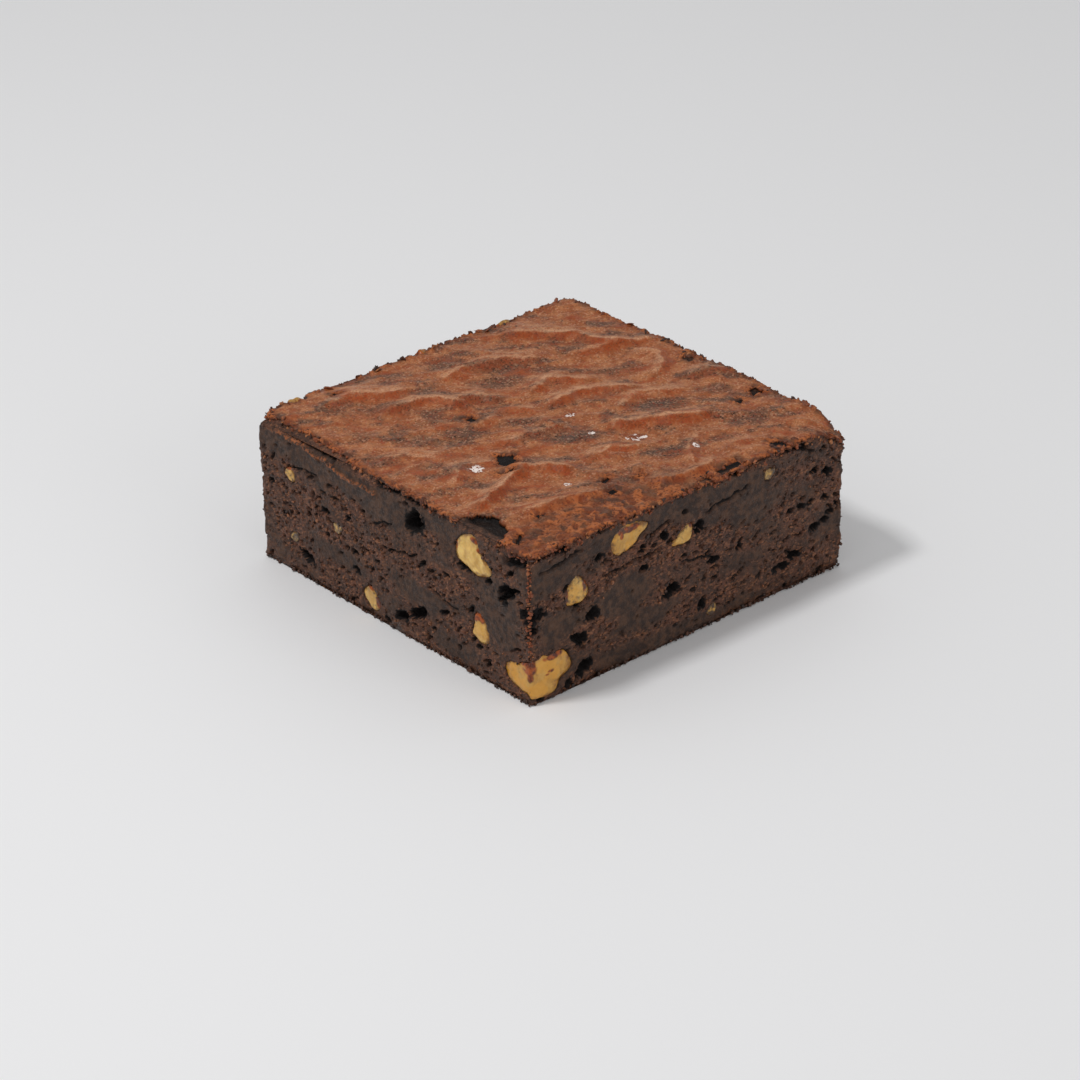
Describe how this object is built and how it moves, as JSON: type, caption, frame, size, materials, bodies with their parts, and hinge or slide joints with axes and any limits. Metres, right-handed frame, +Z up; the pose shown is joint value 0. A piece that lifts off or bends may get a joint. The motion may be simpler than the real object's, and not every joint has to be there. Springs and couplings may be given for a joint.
{
  "type": "chocolate walnut brownie",
  "caption": "Square of dense chocolate brownie cut from a tray, with a wavy papery top and cut walnut pieces showing in its sides.",
  "frame": {"origin": "middle of the flat underside, at the centre of the bounding box", "axes": "+Z up from the flat underside to the baked top; X and Y along the cut sides, with +X along the slightly longer run"},
  "size_m": [0.0778, 0.0768, 0.031],
  "materials": {
    "cake": "dense moist chocolate cake, matte, with a thin papery baked top",
    "walnut": "cut walnut kernel, satin"
  },
  "bodies": {
    "root": {"cake": "cake", "walnut_corner": "walnut", "walnut_left_a": "walnut", "walnut_left_b": "walnut", "walnut_left_c": "walnut", "walnut_left_d": "walnut", "walnut_left_e": "walnut", "walnut_left_f": "walnut", "walnut_right_a": "walnut", "walnut_right_b": "walnut", "walnut_right_c": "walnut", "walnut_right_d": "walnut", "walnut_right_e": "walnut", "walnut_rim_a": "walnut", "walnut_rim_b": "walnut", "walnut_rim_c": "walnut"}
  },
  "joints": []
}
